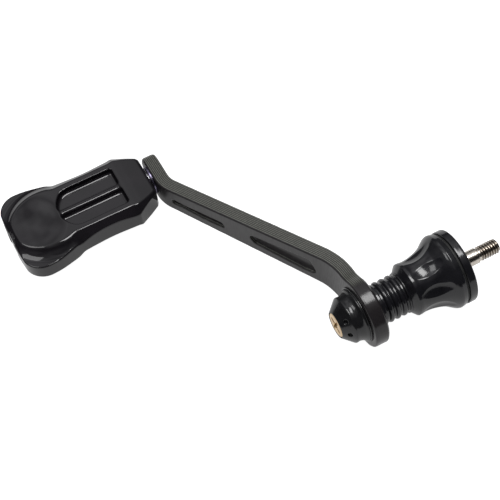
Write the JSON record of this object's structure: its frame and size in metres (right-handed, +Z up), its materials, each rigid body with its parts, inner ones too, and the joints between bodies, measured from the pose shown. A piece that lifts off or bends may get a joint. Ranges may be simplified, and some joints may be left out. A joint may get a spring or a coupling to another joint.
{
  "type": "reel crank handle",
  "caption": "Screw-in crank handle with an offset slotted arm, a fluted flared collar and a free-spinning paddle knob.",
  "frame": {"origin": "centre of the flange face that seats on the reel or winch housing, on the crank axis", "axes": "+X along the crank axis, out of the seat face towards the stud's tip; +Y from the crank axis to the knob axis; +Z up, square to the knob's broad faces at rest"},
  "size_m": [0.1202, 0.0951, 0.0222],
  "materials": {
    "stud_steel": "turned nickel-plated steel",
    "collar_black": "gloss black anodised",
    "seal_rubber": "matt black rubber",
    "arm_satin": "satin black, machined edges",
    "nut_black": "gloss black anodised",
    "screw_gold": "polished gold anodised",
    "axle_steel": "ground steel",
    "ring_mauve": "polished, faint mauve tint",
    "bearing_steel": "polished bearing steel",
    "cage_brass": "pressed brass",
    "shield_steel": "pressed sheet steel",
    "knob_gloss": "high-gloss black moulding"
  },
  "bodies": {
    "crank": {"drive_stud": "stud_steel", "seat_ring": "collar_black", "seal_ring": "seal_rubber", "fluted_collar": "collar_black", "ribbed_spacer": "collar_black", "crank_arm": "arm_satin", "nut_washer": "nut_black", "cap_nut": "nut_black", "lock_screw": "screw_gold", "knob_axle": "axle_steel", "dust_ring": "ring_mauve", "shim_washer": "axle_steel", "inner_bearing_inner_race": "bearing_steel", "outer_bearing_inner_race": "bearing_steel", "retaining_washer": "axle_steel", "retaining_screw": "axle_steel"},
    "knob": {"knob_body": "knob_gloss", "knob_cap": "knob_gloss", "inner_bearing_outer_race": "bearing_steel", "outer_bearing_outer_race": "bearing_steel", "inner_bearing_shields": "shield_steel", "outer_bearing_shields": "shield_steel"},
    "inner_cage": {"inner_bearing_balls": "bearing_steel", "inner_bearing_cage": "cage_brass"},
    "outer_cage": {"outer_bearing_balls": "bearing_steel", "outer_bearing_cage": "cage_brass"}
  },
  "joints": [
    {"name": "knob_spin", "type": "hinge", "parent": "crank", "child": "knob", "pos_m": [-0.085, 0.07, 0], "axis": [1, 0, 0], "continuous": true},
    {"name": "inner_cage_spin", "type": "hinge", "parent": "crank", "child": "inner_cage", "pos_m": [-0.065, 0.07, 0], "axis": [1, 0, 0], "continuous": true},
    {"name": "outer_cage_spin", "type": "hinge", "parent": "crank", "child": "outer_cage", "pos_m": [-0.093, 0.07, 0], "axis": [1, 0, 0], "continuous": true}
  ],
  "couplings": [
    {"joint": "inner_cage_spin", "follows": "knob_spin", "ratio": 0.5727},
    {"joint": "outer_cage_spin", "follows": "knob_spin", "ratio": 0.5727}
  ]
}
